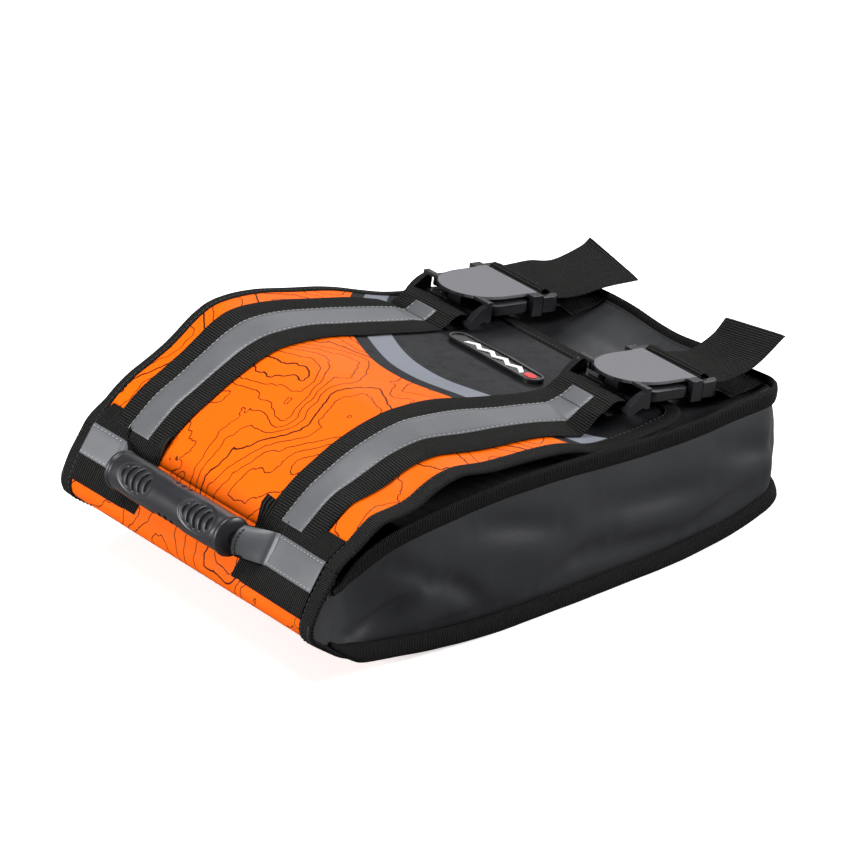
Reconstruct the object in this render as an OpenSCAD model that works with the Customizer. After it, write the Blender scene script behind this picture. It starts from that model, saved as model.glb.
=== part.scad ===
// Soft gear satchel lying on its back: a flat pouch, a wrap-over flap held down by two
// webbing straps with side-release buckles, and a carrying handle on the top end.
// +X runs from the handle end to the bag's base, +Y runs across the straps, +Z is up.
// The origin is on the floor, under the middle of the bag.

/* [Bag] */
// Length from the handle end to the base
bag_l = 360; // [350:5:370]
// Width across the side gussets
bag_w = 240; // [230:5:260]
// Height of the front panel above the floor
bag_h = 83; // [80:1:83]
// Height of the flap's ridge above the floor
ridge_h = 121; // [119:1:124]
// Thickness of the coated fabric
cloth_t = 1.6; // [1:0.1:1.8]
// Width of the edge binding
bind_w = 9; // [6:1:10]

/* [Webbing] */
// Width of the webbing
web_w = 50; // [46:1:50]
// Thickness of the webbing
web_t = 1.6; // [1.2:0.1:1.6]
// Distance from the middle of the bag to the middle of each strap
strap_y = 76; // [72:1:78]
// Width of the reflective tape sewn along the webbing
tape_w = 20; // [12:1:24]
// How far the near strap's loose tail reaches past the plug
tail_near = 60; // [40:1:60]
// How far the far strap's loose tail reaches past the plug
tail_far = 76; // [40:1:80]

/* [Buckle] */
// Width across the plug and the mouth of the socket
buckle_w = 64; // [62:1:66]
// Thickness of the socket
buckle_t = 13; // [12:0.5:13]
// Tilt of the buckles, nose down towards the base
buckle_tilt = 9; // [8:0.5:9]

/* [Handle] */
// Length of the moulded grip
grip_l = 114; // [90:2:116]
// Diameter of the moulded grip
grip_d = 25; // [24:0.5:26]
// Height of the grip's middle above the end panel
grip_rise = 19.5; // [19:0.5:24]

/* [Hidden] */
$fn = 48;

NEAR = -1;
FAR = 1;
INNER = 1;
OUTER = -1;
orange = "#f97a1c";
black_cloth = "#2b2b2e";
black_webbing = "#1d1d1b";
black_plastic = "#333338";
grey_plastic = "#77777d";
tape_grey = "#8f9295";

gap = 0.2;                      // clearance between neighbouring layers
half_l = bag_l / 2;
half_w = bag_w / 2;
panel_y = half_w - cloth_t - gap;
binding_t = 2.4;                // how far a seam binding stands off the gusset
tape_t = 0.4;

// The end panel is flat, from end_low up to the fold that the flap turns about.
end_low = [-half_l, 42];
fold = [-half_l + 26.4, ridge_h - 36.7];
base_low = [half_l, 17];

// The rear bar of a buckle's socket and the bar of its plug, in the buckle's own frame.
buckle_at = [half_l - 56, bag_h + 16.8];
rear_bar = [-55, -7];
plug_bar = [7.5, 0];
bar_r = 1.8;
loop_r = bar_r + 0.3;           // inner radius of the webbing's turn round a bar

// ---- lines in side view: lists of [x, z] points ----

function bezier(a, b, c, d, n = 10) =
    [for (i = [0 : n]) let (t = i / n, u = 1 - t)
        u * u * u * a + 3 * u * u * t * b + 3 * u * t * t * c + t * t * t * d];
function reversed(line) = [for (i = [len(line) - 1 : -1 : 0]) line[i]];
function without_first(line) = [for (i = [1 : len(line) - 1]) line[i]];
function joined(first, second) = concat(first, without_first(second));
function heading(line, i) = line[min(i + 1, len(line) - 1)] - line[max(i - 1, 0)];
function left_of(v) = [-v.y, v.x] / norm(v);
// The line moved to its left by d, seen along its direction of travel.
function moved(line, d) = [for (i = [0 : len(line) - 1]) line[i] + d * left_of(heading(line, i))];
// A closed strip that lies between d0 and d1 to the left of a line.
function strip(line, d0, d1) = concat(moved(line, d0), reversed(moved(line, d1)));
// A point of the buckle's own side view, in the bag's side view.
function from_buckle(p) =
    buckle_at + [p.x * cos(buckle_tilt) + p.y * sin(buckle_tilt),
                 p.y * cos(buckle_tilt) - p.x * sin(buckle_tilt)];

// The back, from the base seam along the floor and up to the foot of the end panel.
floor_start = [half_l - cloth_t - gap, base_low.y - 1];
floor_line = joined(
    bezier(floor_start, [half_l - 32, 4], [half_l - 75, 0], [half_l - 110, 0], 8),
    concat([[-half_l + 130, 0]],
           without_first(bezier([-half_l + 130, 0], [-half_l + 80, 0], [-half_l + 35, 10],
                                [-half_l + 10, 29], 10)),
           without_first(bezier([-half_l + 10, 29], [-half_l + 3, 34], [-half_l - 2, 39],
                                end_low, 4)))
);
wrap_line = concat(floor_line, [fold]);

// The flap, from just past the fold over the ridge to its free edge.
flap_start = fold + [2.4, 1.7];
flap_end = [half_l - 70, ridge_h - 30];
ridge = [-half_l + 118, ridge_h];
flap_line = joined(
    bezier(flap_start, fold + [28.6, 19.7], ridge + [-33, 0], ridge, 10),
    bezier(ridge, ridge + [32, 0], flap_end + [-85, 10], flap_end, 14)
);

// The front panel, from the mouth of the pouch to the base.
mouth = [-half_l + 70, bag_h - 1];
front_line = joined(
    bezier(mouth, mouth + [40, 6], mouth + [90, 6], mouth + [145, 3], 8),
    bezier(mouth + [145, 3], mouth + [190, 1], [half_l - 50, bag_h],
           [half_l - cloth_t - gap, bag_h], 6)
);
// The top edge of a side gusset, from the end panel to the base.
gusset_start = end_low + 0.42 * (fold - end_low);
gusset_top = joined(
    bezier(gusset_start, gusset_start + [25, 8], mouth + [-25, -6], mouth, 8),
    front_line
);

// ---- building blocks ----

// A side-view outline made solid from y = low to y = high.
module across(outline, low, high)
    translate([0, high, 0]) rotate([90, 0, 0]) linear_extrude(high - low) polygon(outline);

// The same, as one strip on the near side and one on the far side.
module both_edges(outline, low, high) {
    across(outline, low, high);
    across(outline, -high, -low);
}

// A plan-view rectangle that starts at the fold and ends with two rounded corners.
module flap_plan(inset) {
    r = 20 - inset;
    x_end = flap_end.x - inset;
    y_end = half_w - inset;
    translate([-half_l, -y_end]) square([x_end - r + half_l, 2 * y_end]);
    translate([-half_l, -y_end + r]) square([x_end + half_l, 2 * (y_end - r)]);
    for (s = [NEAR, FAR]) translate([x_end - r, s * (y_end - r)]) circle(r);
}

// Children drawn in the end panel's frame: x up the panel, y across, z outwards.
module on_end_panel() {
    slope = atan2(fold.y - end_low.y, fold.x - end_low.x);
    centre = (end_low + fold) / 2;
    translate([centre.x, 0, centre.y]) rotate([0, -slope, 0]) children();
}

// Children drawn in a buckle's frame: x from the socket to the plug, y outwards from its middle.
module on_buckle(s)
    translate([buckle_at.x, s * strap_y, buckle_at.y]) rotate([0, buckle_tilt, 0]) children();

// A bar across the buckle, with its middle at p in side view.
module cross_bar(p, r, half_length)
    translate([p.x, half_length, p.y]) rotate([90, 0, 0]) cylinder(r = r, h = 2 * half_length);

// ---- the pouch ----

module back_panel()
    color(orange) across(strip(wrap_line, -cloth_t, 0), -panel_y, panel_y);

module front_panel()
    color(black_cloth) across(strip(front_line, -cloth_t, 0), -panel_y, panel_y);

module side_gusset(s) {
    outline = concat([base_low], floor_line, [gusset_start], without_first(gusset_top),
                     [[half_l, bag_h]]);
    outer = s * half_w;
    color(black_cloth)
        across(outline, min(outer, outer - s * cloth_t), max(outer, outer - s * cloth_t));
}

module base_gusset() {
    outline = [base_low, [half_l, bag_h], [half_l - cloth_t, bag_h],
               [half_l - cloth_t, base_low.y]];
    color(black_cloth) across(outline, -panel_y, panel_y);
}

// A binding on both gussets along a line, joined by a strip across the base.
module seam_binding(line, base_z) {
    inner = half_w + gap;
    outer = half_w + binding_t;
    color(black_webbing) {
        both_edges(strip(line, -bind_w, 0), inner, outer);
        translate([half_l + gap, -outer, base_z]) cube([binding_t - gap, 2 * outer, bind_w]);
        for (y = [-outer, inner])
            translate([floor_start.x, y, base_z])
                cube([half_l + binding_t - floor_start.x, binding_t - gap, bind_w]);
    }
}
module back_seam_binding() seam_binding(floor_line, base_low.y - 2);
module front_seam_binding() seam_binding(gusset_top, bag_h - bind_w);

// Above the gussets the end panel's own edges are bound.
module top_end_binding() {
    line = [gusset_start + 0.1 * (fold - end_low), fold];
    color(black_webbing)
        both_edges(strip(line, -cloth_t - 0.6, 0.6), half_w - cloth_t, half_w + 1);
}

// ---- the flap ----

module flap_panel()
    color(orange)
    intersection() {
        across(strip(flap_line, -cloth_t, 0), -half_w, half_w);
        linear_extrude(2 * ridge_h) flap_plan(bind_w + gap);
    }

module flap_binding()
    color(black_webbing)
    intersection() {
        across(strip(flap_line, -cloth_t - 0.6, 0.6), -half_w, half_w);
        linear_extrude(2 * ridge_h) difference() {
            flap_plan(0);
            flap_plan(bind_w);
        }
    }

// A rubber badge with a raised rim and a zigzag ridge.
module badge() {
    size = [14, 84];
    base_t = 2;
    relief_t = 1;
    middle = [half_l - 127, ridge_h - 20.6];
    color(black_plastic)
    translate([middle.x, 0, middle.y]) rotate([0, 10.5, 0]) {
        linear_extrude(base_t) square(size, center = true);
        linear_extrude(base_t + relief_t) difference() {
            square(size, center = true);
            square(size - [2, 2], center = true);
        }
        for (i = [-3 : 3], s = [-1, 1])
            translate([0, 10 * i + 2.5 * s, 0]) rotate(35 * s)
                translate([-3.5, -0.8, 0]) cube([7, 1.6, base_t + relief_t]);
    }
}

// A strap sewn along the flap, with its end turned round the socket's rear bar.
module flap_strap(s) {
    bar = from_buckle(rear_bar);
    outer_r = loop_r + web_t;
    flat = [for (p = flap_line) if (p.x < bar.x) p];
    lift_off = flat[len(flat) - 2] + [2.5, -0.5];
    color(black_webbing)
        translate([0, s * strap_y + web_w / 2, 0]) rotate([90, 0, 0]) linear_extrude(web_w)
            difference() {
                union() {
                    polygon(strip(concat(flat, [[bar.x, bar.y - outer_r - gap]]), gap, gap + web_t));
                    translate(bar) circle(outer_r);
                    polygon([lift_off + [0, gap + web_t], lift_off + [4, gap],
                             bar + [-outer_r * 0.6, -outer_r * 0.8],
                             bar + [0, outer_r], bar + [-1.5, outer_r]]);
                }
                translate(bar) circle(loop_r);
            }
}

// Reflective tape on the flat run of a strap.
module strap_tape(s) {
    low = gap + web_t + 0.1;
    line = [for (p = flap_line) if (p.x < half_l - 132) p];
    color(tape_grey)
        across(strip(line, low, low + tape_t), s * strap_y - tape_w / 2, s * strap_y + tape_w / 2);
}

// ---- the buckles ----

socket_tip = -52;               // front end of the socket's top plate
mouth_depth = 8;                // length of the socket's closed mouth
plate_w = 50;
plate_t = 2;
side_y = buckle_w / 2;
channel = [buckle_w - 9, 9];    // opening that the two latch arms go in by
rail_w = 4.5;
rib_x = -44;                    // ribs from the plates to the two side rails
rib_w = 4;

// A plate whose rear end is half an ellipse, from x = tip to the mouth.
module socket_plate(tip, z) {
    a = -tip - 24;
    translate([0, 0, z]) linear_extrude(plate_t)
        polygon(concat([[0, -plate_w / 2]],
                       [for (t = [-90 : -10 : -270]) [-24 + a * cos(t), plate_w / 2 * sin(t)]],
                       [[0, plate_w / 2]]));
}

// One side rail, which sinks from the plates to the rear bar.
module socket_rail(side) {
    end_x = rib_x + rib_w;
    top = bezier([end_x, 5], [rib_x, 5], rear_bar + [1, 8], rear_bar + [-2.6, 0], 6);
    nose = bezier(rear_bar + [-2.6, 0], rear_bar + [-2.6, -3.4], rear_bar + [2.6, -3.4],
                  rear_bar + [4, -1.5], 6);
    foot = bezier(rear_bar + [4, -1.5], rear_bar + [7, 0], [rib_x - 2, -5], [end_x, -5], 5);
    y = side > 0 ? side_y - rail_w : -side_y;
    across(joined(joined(top, nose), foot), y, y + rail_w);
}

module buckle_socket(s)
    color(grey_plastic)
    on_buckle(s) {
        socket_plate(socket_tip, buckle_t / 2 - plate_t);
        socket_plate(socket_tip + 6, -buckle_t / 2);
        // the mouth, a closed frame round the channel
        difference() {
            translate([-mouth_depth, -side_y, -buckle_t / 2]) cube([mouth_depth, buckle_w, buckle_t]);
            translate([-mouth_depth - 1, -channel.x / 2, -channel.y / 2])
                cube([mouth_depth + 2, channel.x, channel.y]);
        }
        // a post between the plates, and ribs out to the two rails
        translate([rib_x, -6, -buckle_t / 2]) cube([rib_w, 12, buckle_t]);
        for (side = [-1, 1]) {
            socket_rail(side);
            for (z = [buckle_t / 2 - plate_t, -buckle_t / 2])
                translate([rib_x, side > 0 ? 12 : -side_y, z]) cube([rib_w, side_y - 12, plate_t]);
            translate([rib_x, side > 0 ? side_y - rail_w : -side_y, -buckle_t / 2])
                cube([rib_w, rail_w, buckle_t]);
        }
        cross_bar(rear_bar, bar_r, side_y - 1);
    }

// The plug's block, with a window that the webbing's bar crosses.
module buckle_plug(s) {
    front_x = 0.3;
    length = 13;
    r = 5;
    t = 10;
    color(black_plastic)
    on_buckle(s) {
        translate([0, 0, -t / 2]) linear_extrude(t) difference() {
            union() {
                translate([front_x, -side_y]) square([length - r, 2 * side_y]);
                translate([front_x, -side_y + r]) square([length, 2 * (side_y - r)]);
                for (side = [-1, 1])
                    translate([front_x + length - r, side * (side_y - r)]) circle(r);
            }
            translate([3, -web_w / 2 - 1]) square([20, web_w + 2]);
        }
        cross_bar(plug_bar, bar_r, web_w / 2 + 2);
    }
}

// One springy arm of the plug, from its root at the block to the lobe that is pressed.
module latch_arm(s, inward) {
    arm_t = 6;
    lobe_y = 5.5 - side_y;
    lobe_r = 4.5;
    color(black_plastic)
    on_buckle(s) mirror([0, s == inward ? 0 : 1, 0])
        translate([0, 0, -arm_t / 2]) linear_extrude(arm_t) {
            polygon([[0, -20], [-12, -19], [-20, lobe_y + 3], [-20, lobe_y], [-12, -23], [0, -24]]);
            for (x = [-14, -34]) translate([x, lobe_y]) circle(lobe_r);
            translate([-34, lobe_y - lobe_r]) square([20, 2 * lobe_r]);
        }
}

// ---- webbing at the base ----

// The strand from the seam up to the plug's bar.
module anchor_strap(s) {
    bar = from_buckle(plug_bar);
    top = bar + [0.5, -loop_r - web_t - 0.4];
    line = bezier(top, top + [14, -3], [half_l - 30, bag_h + 3.5], [half_l - 10, bag_h + 3.5], 8);
    color(black_webbing)
        across(strip(line, -web_t, 0), s * strap_y - web_w / 2, s * strap_y + web_w / 2);
}

// The loose tail, over the plug's bar and out past the base.
module tail_strap(s, reach) {
    bar = from_buckle(plug_bar);
    outer_r = loop_r + web_t;
    start = bar + [0, loop_r];
    line = bezier(start, start + [16, -1], [bar.x + 30, bag_h + 10],
                  [bar.x + reach, bag_h + 19], 12);
    color(black_webbing)
        translate([0, s * strap_y + web_w / 2, 0]) rotate([90, 0, 0]) linear_extrude(web_w)
            difference() {
                union() {
                    polygon(strip(line, 0, web_t));
                    intersection() {
                        translate(bar) circle(outer_r);
                        translate(bar + [-2 * outer_r, -1]) square([2 * outer_r + 1, 3 * outer_r]);
                    }
                }
                translate(bar) circle(loop_r);
            }
}

// ---- the handle ----

patch = [46, 38];               // sewn-down webbing: up the panel, and across the bag
patch_end_y = half_w - 8;
handle_half_l = patch_end_y - patch.y - 2;

module handle_patch(s)
    color(black_webbing)
    on_end_panel()
        translate([-patch.x / 2 + 1, s > 0 ? patch_end_y - patch.y : -patch_end_y, gap])
            cube([patch.x, patch.y, web_t]);

module handle_patch_tape()
    color(tape_grey)
    on_end_panel()
        for (y = [-patch_end_y, patch_end_y - patch.y])
            translate([1 - tape_w / 2, y, gap + web_t + 0.1]) cube([tape_w, patch.y, tape_t]);

// The folded webbing: it rises from one patch, runs through the grip and returns.
module handle_webbing() {
    folded_w = 16;
    folded_t = 2 * web_t + 0.3;
    grip_end = grip_l / 2 + 0.5;
    low = gap + 3;
    top = grip_rise - folded_t / 2;
    line = [[-handle_half_l, low], [-grip_end, top], [grip_end, top], [handle_half_l, low]];
    color(tape_grey)
    on_end_panel()
        translate([2.5 - folded_w / 2, 0, 0]) rotate([90, 0, 90]) linear_extrude(folded_w)
            polygon(concat(line, [for (p = reversed(line)) p + [0, folded_t]]));
}

// A grip with a slot through it for the webbing, a flange at each end and grooves for the fingers.
module handle_grip() {
    slot = [17, 4.2];
    flange = 4;
    groove_d = 1.2;
    color(black_plastic)
    on_end_panel() translate([2.5, 0, grip_rise]) rotate([90, 0, 0]) difference() {
        translate([0, 0, -grip_l / 2]) union() {
            cylinder(d = grip_d, h = flange);
            cylinder(d = grip_d - 1.5, h = grip_l);
            translate([0, 0, grip_l - flange]) cylinder(d = grip_d, h = flange);
        }
        translate([-slot.x / 2, -slot.y / 2, -grip_l]) cube([slot.x, slot.y, 2 * grip_l]);
        for (z = [-34 : 4 : -22]) groove(z, groove_d);
        for (z = [14 : 4 : 26]) groove(z, groove_d);
    }
}
module groove(z, depth)
    translate([0, 0, z]) rotate_extrude()
        translate([grip_d / 2 - 0.75 - depth, 0]) square([2 * depth, 1.6]);

back_panel();
front_panel();
side_gusset(NEAR);  // side_gusset_near
side_gusset(FAR);  // side_gusset_far
base_gusset();
back_seam_binding();
front_seam_binding();
top_end_binding();
handle_patch(NEAR);  // handle_patch_near
handle_patch(FAR);  // handle_patch_far
handle_patch_tape();
anchor_strap(NEAR);  // anchor_strap_near
anchor_strap(FAR);  // anchor_strap_far
flap_panel();
flap_binding();
badge();
flap_strap(NEAR);  // flap_strap_near
flap_strap(FAR);  // flap_strap_far
strap_tape(NEAR);  // strap_tape_near
strap_tape(FAR);  // strap_tape_far
buckle_socket(NEAR);  // buckle_socket_near
buckle_socket(FAR);  // buckle_socket_far
handle_grip();
handle_webbing();
buckle_plug(NEAR);  // buckle_plug_near
buckle_plug(FAR);  // buckle_plug_far
tail_strap(NEAR, tail_near);  // tail_strap_near
tail_strap(FAR, tail_far);  // tail_strap_far
latch_arm(NEAR, INNER);  // latch_arm_near_inner
latch_arm(NEAR, OUTER);  // latch_arm_near_outer
latch_arm(FAR, INNER);  // latch_arm_far_inner
latch_arm(FAR, OUTER);  // latch_arm_far_outer
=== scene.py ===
import math

import bmesh
import bpy
import numpy as np
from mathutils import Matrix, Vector


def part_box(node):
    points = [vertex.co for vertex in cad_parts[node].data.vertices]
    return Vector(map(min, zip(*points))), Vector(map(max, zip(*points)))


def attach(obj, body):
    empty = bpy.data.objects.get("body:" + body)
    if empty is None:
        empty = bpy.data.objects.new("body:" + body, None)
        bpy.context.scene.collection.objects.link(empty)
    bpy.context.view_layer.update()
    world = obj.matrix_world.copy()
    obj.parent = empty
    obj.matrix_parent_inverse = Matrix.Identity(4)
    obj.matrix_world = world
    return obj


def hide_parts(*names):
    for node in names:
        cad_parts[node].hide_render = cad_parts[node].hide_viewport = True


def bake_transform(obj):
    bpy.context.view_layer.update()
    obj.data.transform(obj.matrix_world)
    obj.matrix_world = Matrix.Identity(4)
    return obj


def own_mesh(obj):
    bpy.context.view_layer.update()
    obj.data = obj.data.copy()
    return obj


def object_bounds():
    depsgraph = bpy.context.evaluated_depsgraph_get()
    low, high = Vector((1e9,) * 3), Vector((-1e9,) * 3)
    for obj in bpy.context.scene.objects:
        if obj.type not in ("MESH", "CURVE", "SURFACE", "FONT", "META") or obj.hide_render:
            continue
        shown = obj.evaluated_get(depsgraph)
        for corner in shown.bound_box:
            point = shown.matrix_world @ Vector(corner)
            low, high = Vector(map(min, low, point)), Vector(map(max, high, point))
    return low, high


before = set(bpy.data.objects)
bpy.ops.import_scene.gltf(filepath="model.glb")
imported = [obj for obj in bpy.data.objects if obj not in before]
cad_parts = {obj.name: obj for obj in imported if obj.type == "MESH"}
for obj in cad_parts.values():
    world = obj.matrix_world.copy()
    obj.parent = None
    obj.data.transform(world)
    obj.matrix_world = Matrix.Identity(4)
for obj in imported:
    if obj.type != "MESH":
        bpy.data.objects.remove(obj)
cad_box = [list(corner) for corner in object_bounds()]

# A bag with a wrap-over flap, two straps with buckles and a carry handle. One cloth runs from the
# base seam, under the bag, up its handle end and over the top as the flap. A place on it is given
# as u, the cloth length from the fold towards the flap's end, and y, across the bag.
# Lengths in this script are millimetres: new_mesh() turns them into the frame's metres.
MM = 0.001
NEAR, FAR = -1, 1
SIDES = ((NEAR, "near"), (FAR, "far"))


def box_mm(node):
    low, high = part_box(node)
    return np.array(low) / MM, np.array(high) / MM


HALF_L = box_mm("base_gusset")[1][0]
HALF_W = box_mm("side_gusset_far")[1][1]
FOLD_Z = box_mm("back_panel")[1][2]
RIDGE_H = box_mm("flap_panel")[1][2]
FLAP_END = box_mm("flap_binding")[1][0]
STRAP_Y = float(np.mean([corner[1] for corner in box_mm("flap_strap_far")]))
WEB_W = float(np.ptp([corner[1] for corner in box_mm("flap_strap_far")]))
TAPE_W = float(np.ptp([corner[1] for corner in box_mm("strap_tape_far")]))
GRIP_LOW, GRIP_HIGH = box_mm("handle_grip")
BUCKLE_X, BUCKLE_Z, BUCKLE_TILT = 124.0, 99.8, math.radians(9)
CLOTH_T, WEB_T, TAPE_T = 1.2, 1.7, 0.45     # thicknesses
BIND_W = 10.0               # width of the binding on either face of the cloth
FOLD_X = -HALF_L + 26.4
CORNER_R = 14.0             # plan radius of the pouch's two corners at the base
FLAP_R = 20.0               # plan radius of the flap's corners

# ---------------------------------------------------------------- lines and numbers


def smoothstep(x, low, high):
    t = np.clip((np.asarray(x, float) - low) / (high - low), 0, 1)
    return t * t * (3 - 2 * t)


def window(x, rise_from, rise_to, fall_from, fall_to):
    return smoothstep(x, rise_from, rise_to) * (1 - smoothstep(x, fall_from, fall_to))


def unit(v):
    v = np.asarray(v, float)
    return v / np.maximum(np.linalg.norm(v, axis=-1, keepdims=True), 1e-9)


def joined(*parts):
    """Coordinates put together as points; a part that is one number is the same in every point."""
    return np.stack(np.broadcast_arrays(*parts), -1)


def lengths(line):
    steps = np.linalg.norm(np.diff(line, axis=0), axis=1)
    return np.concatenate([[0], np.cumsum(steps)])


def at_length(line, s):
    total = lengths(line)
    return joined(*(np.interp(s, total, column) for column in line.T))


def resample(line, n):
    return at_length(line, np.linspace(0, lengths(line)[-1], n))


def through(points, n=200):
    """A smooth line through the points, as n points evenly spaced along it."""
    p = np.array(points, float)
    p = np.vstack([2 * p[0] - p[1], p, 2 * p[-1] - p[-2]])
    t = np.linspace(0, 1, 24, endpoint=False)[:, None]
    parts = []
    for a, b, c, d in zip(p, p[1:], p[2:], p[3:]):
        parts.append(0.5 * (2 * b + (c - a) * t + (2 * a - 5 * b + 4 * c - d) * t ** 2
                            + (3 * b - a - 3 * c + d) * t ** 3))
    return resample(np.vstack(parts + [p[-2:-1]]), n)


def tangents(line):
    return unit(np.gradient(line, axis=0))


def sideways(line):
    """The normals of a line in a plane, to the left of its direction."""
    t = tangents(line)
    return joined(-t[:, 1], t[:, 0])


def face_normals(rows):
    """The normals of a grid of points."""
    return unit(np.cross(np.gradient(rows, axis=0), np.gradient(rows, axis=1)))


def with_mirror(half):
    """An edge as (cloth length, y) up to the bag's middle, carried on round the other side."""
    return np.concatenate([half, half[-2::-1] * (1, -1)])


def ripple(a, b, seed=0.0):
    """Gentle unevenness of hand-sewn cloth, about -1 to 1, over two lengths in mm."""
    return (0.45 * np.sin(a / 17 + 0.9 * np.sin(b / 29 + seed) + seed)
            + 0.35 * np.sin(b / 13 - a / 31 + 2.1 * seed + 1.3)
            + 0.20 * np.sin(a / 7.3 + b / 9.1 + 3.7 * seed))


# ---------------------------------------------------------------- meshes


def add_object(name, data):
    obj = bpy.data.objects.new(name, data)
    bpy.context.scene.collection.objects.link(obj)
    return obj


def new_mesh(name, points, faces, material, uv=None, closed=False):
    mesh = bpy.data.meshes.new(name)
    mesh.from_pydata((np.asarray(points, float).reshape(-1, 3) * MM).tolist(), [], faces)
    if closed:
        turn_faces_outward(mesh)
    if uv is not None:
        layer = mesh.uv_layers.new(name="millimetres")
        flat = np.asarray(uv, float).reshape(-1, 2)
        index = np.zeros(len(mesh.loops), int)
        mesh.loops.foreach_get("vertex_index", index)
        layer.data.foreach_set("uv", flat[index].astype(np.float32).ravel())
    mesh.polygons.foreach_set("use_smooth", [True] * len(mesh.polygons))
    mesh.materials.append(material)
    mesh.update()
    return add_object(name, mesh)


def turn_faces_outward(mesh):
    solid = bmesh.new()
    solid.from_mesh(mesh)
    bmesh.ops.recalc_face_normals(solid, faces=solid.faces)
    solid.to_mesh(mesh)
    solid.free()


def grid_faces(rows, columns, closed=False):
    faces = []
    last = columns if closed else columns - 1
    for start in range(0, (rows - 1) * columns, columns):
        for j in range(last):
            k = (j + 1) % columns
            faces.append((start + j, start + columns + j, start + columns + k, start + k))
    return faces


def tube_faces(rings, sides, first=0):
    """Faces of a capped tube made of rings of points; first is the number of its first point."""
    faces = grid_faces(rings, sides, closed=True)
    faces += [tuple(range(sides)), tuple((rings - 1) * sides + q for q in reversed(range(sides)))]
    return [tuple(first + k for k in face) for face in faces]


def sheet(name, points, uv, material):
    """A cloth sheet whose outer face is a grid of points, lined on its inner face."""
    rows, columns = points.shape[:2]
    obj = new_mesh(name, points, grid_faces(rows, columns), material, uv)
    solid = obj.modifiers.new("thickness", "SOLIDIFY")
    solid.thickness = CLOTH_T * MM
    solid.offset = -1
    obj.data.materials.append(LINING)
    solid.material_offset = 1
    solid.use_even_offset = False
    return obj


def band(name, rows, thick, material):
    """Webbing or tape: a flat band with soft edges round a mid-surface of rows of points."""
    n, m = rows.shape[:2]
    edge = np.ones(m)
    edge[0] = edge[-1] = 0.45
    half = face_normals(rows) * (thick / 2 * edge)[None, :, None]
    out = unit(rows[:, -1] - rows[:, -2])[:, None] * thick * 0.25
    back = unit(rows[:, 0] - rows[:, 1])[:, None] * thick * 0.25
    below = (rows - half)[:, ::-1]
    ring = np.concatenate([rows + half, rows[:, -1:] + out, below, rows[:, :1] + back], 1)
    u = lengths(rows[:, m // 2])[:, None]
    v = lengths(rows[0]) - lengths(rows[0])[-1] / 2
    across = np.concatenate([v, v[-1:], v[::-1], v[:1]])
    return new_mesh(name, ring, tube_faces(n, ring.shape[1]), material, joined(u, across), closed=True)


def stitches(name, path, up, material, pitch=3.4, length=2.3, radius=0.32):
    """A row of thread stitches, each a small arched capsule lying on the cloth."""
    total = lengths(path)[-1]
    direction = tangents(path)
    points, faces = [], []
    sides, rings = 6, 5
    marks = lengths(path)
    for s in np.arange(pitch / 2, total - length / 2, pitch):
        centre = at_length(path, np.array([s]))[0]
        k = min(int(np.searchsorted(marks, s)), len(path) - 1)
        along, normal = direction[k], up[k]
        across = unit(np.cross(along, normal))
        first = len(points)
        for r in range(rings):
            t = r / (rings - 1) * 2 - 1
            swell = radius * math.sqrt(max(1 - abs(t) ** 3, 0.06))
            arch = 0.5 * radius * (1 - t * t)
            middle = centre + along * (t * length / 2) + normal * arch
            for q in range(sides):
                angle = 2 * math.pi * q / sides
                points.append(middle + swell * (normal * math.sin(angle) + across * math.cos(angle)))
        faces += tube_faces(rings, sides, first)
    return new_mesh(name, np.array(points), faces, material, closed=True)


def add_bevel(obj, width):
    modifier = obj.modifiers.new("soft edges", "BEVEL")
    modifier.width = width * MM
    modifier.segments = 2
    modifier.limit_method = "ANGLE"
    modifier.angle_limit = math.radians(35)
    modifier.harden_normals = True


def place(obj, body, *nodes):
    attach(obj, body)
    return stand_for(obj, *nodes)


def stand_for(obj, *nodes):
    if nodes:
        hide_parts(*nodes)
    return obj


# ---------------------------------------------------------------- shader nodes


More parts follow.
